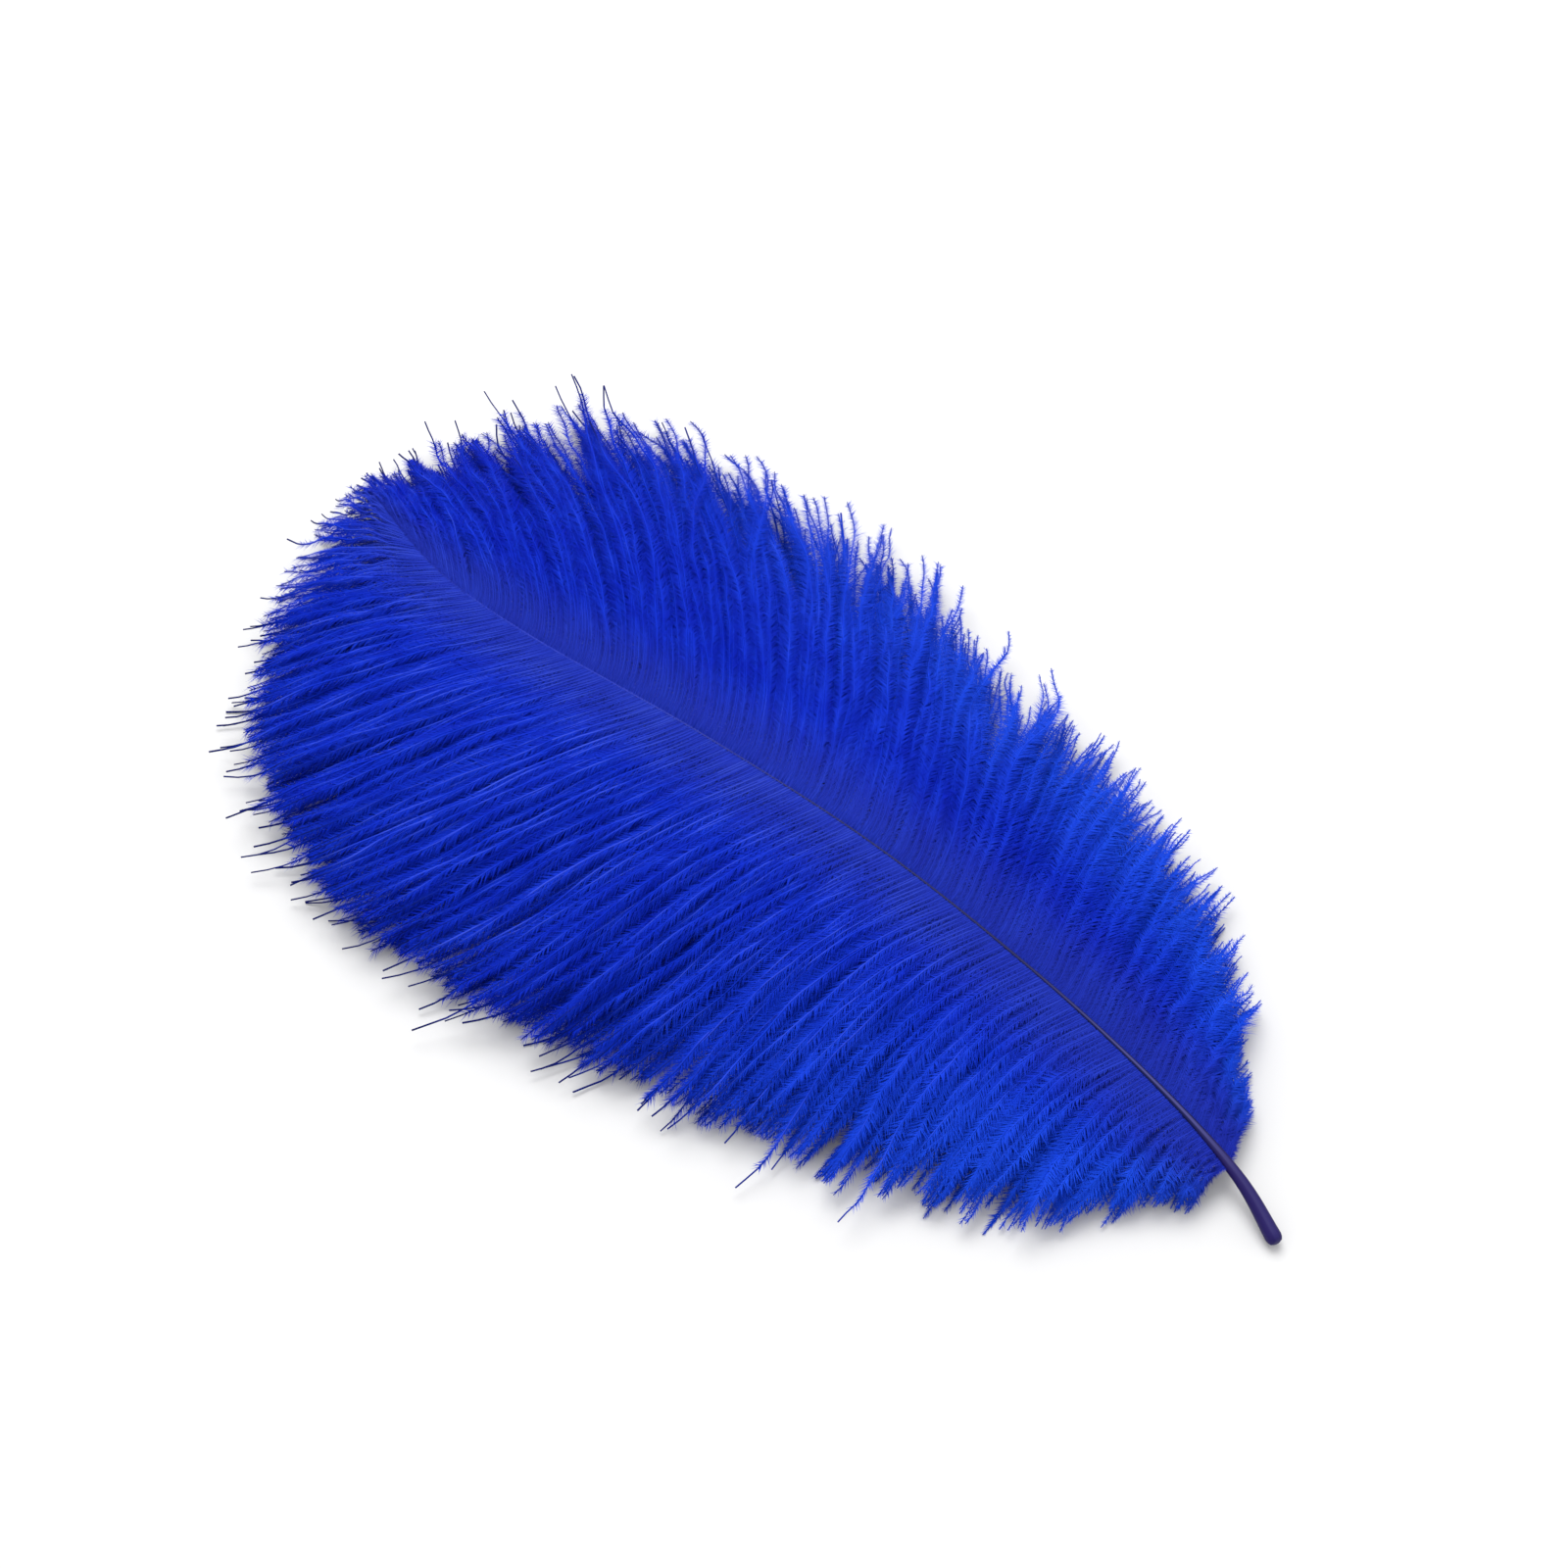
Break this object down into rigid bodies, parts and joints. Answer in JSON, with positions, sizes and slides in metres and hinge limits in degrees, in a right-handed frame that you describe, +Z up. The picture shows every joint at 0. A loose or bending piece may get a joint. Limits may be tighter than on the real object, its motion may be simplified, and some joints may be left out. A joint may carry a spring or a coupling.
{
  "type": "ostrich feather",
  "caption": "Dyed ostrich plume lying flat: an arched tapering shaft with a bare quill, and soft drooping locks of barbs on both sides.",
  "frame": {"origin": "on the surface that the feather lies on, under the middle of its box", "axes": "+Y along the feather from the quill to the tip, +Z up away from the surface, +X to the right of the shaft seen from above with the tip away from the viewer"},
  "size_m": [0.1636, 0.2784, 0.0264],
  "materials": {
    "dyed_feather": "soft matt dyed barbs with a faint silky sheen, and a smooth dark quill"
  },
  "bodies": {
    "root": {"feather": "dyed_feather"}
  },
  "joints": []
}
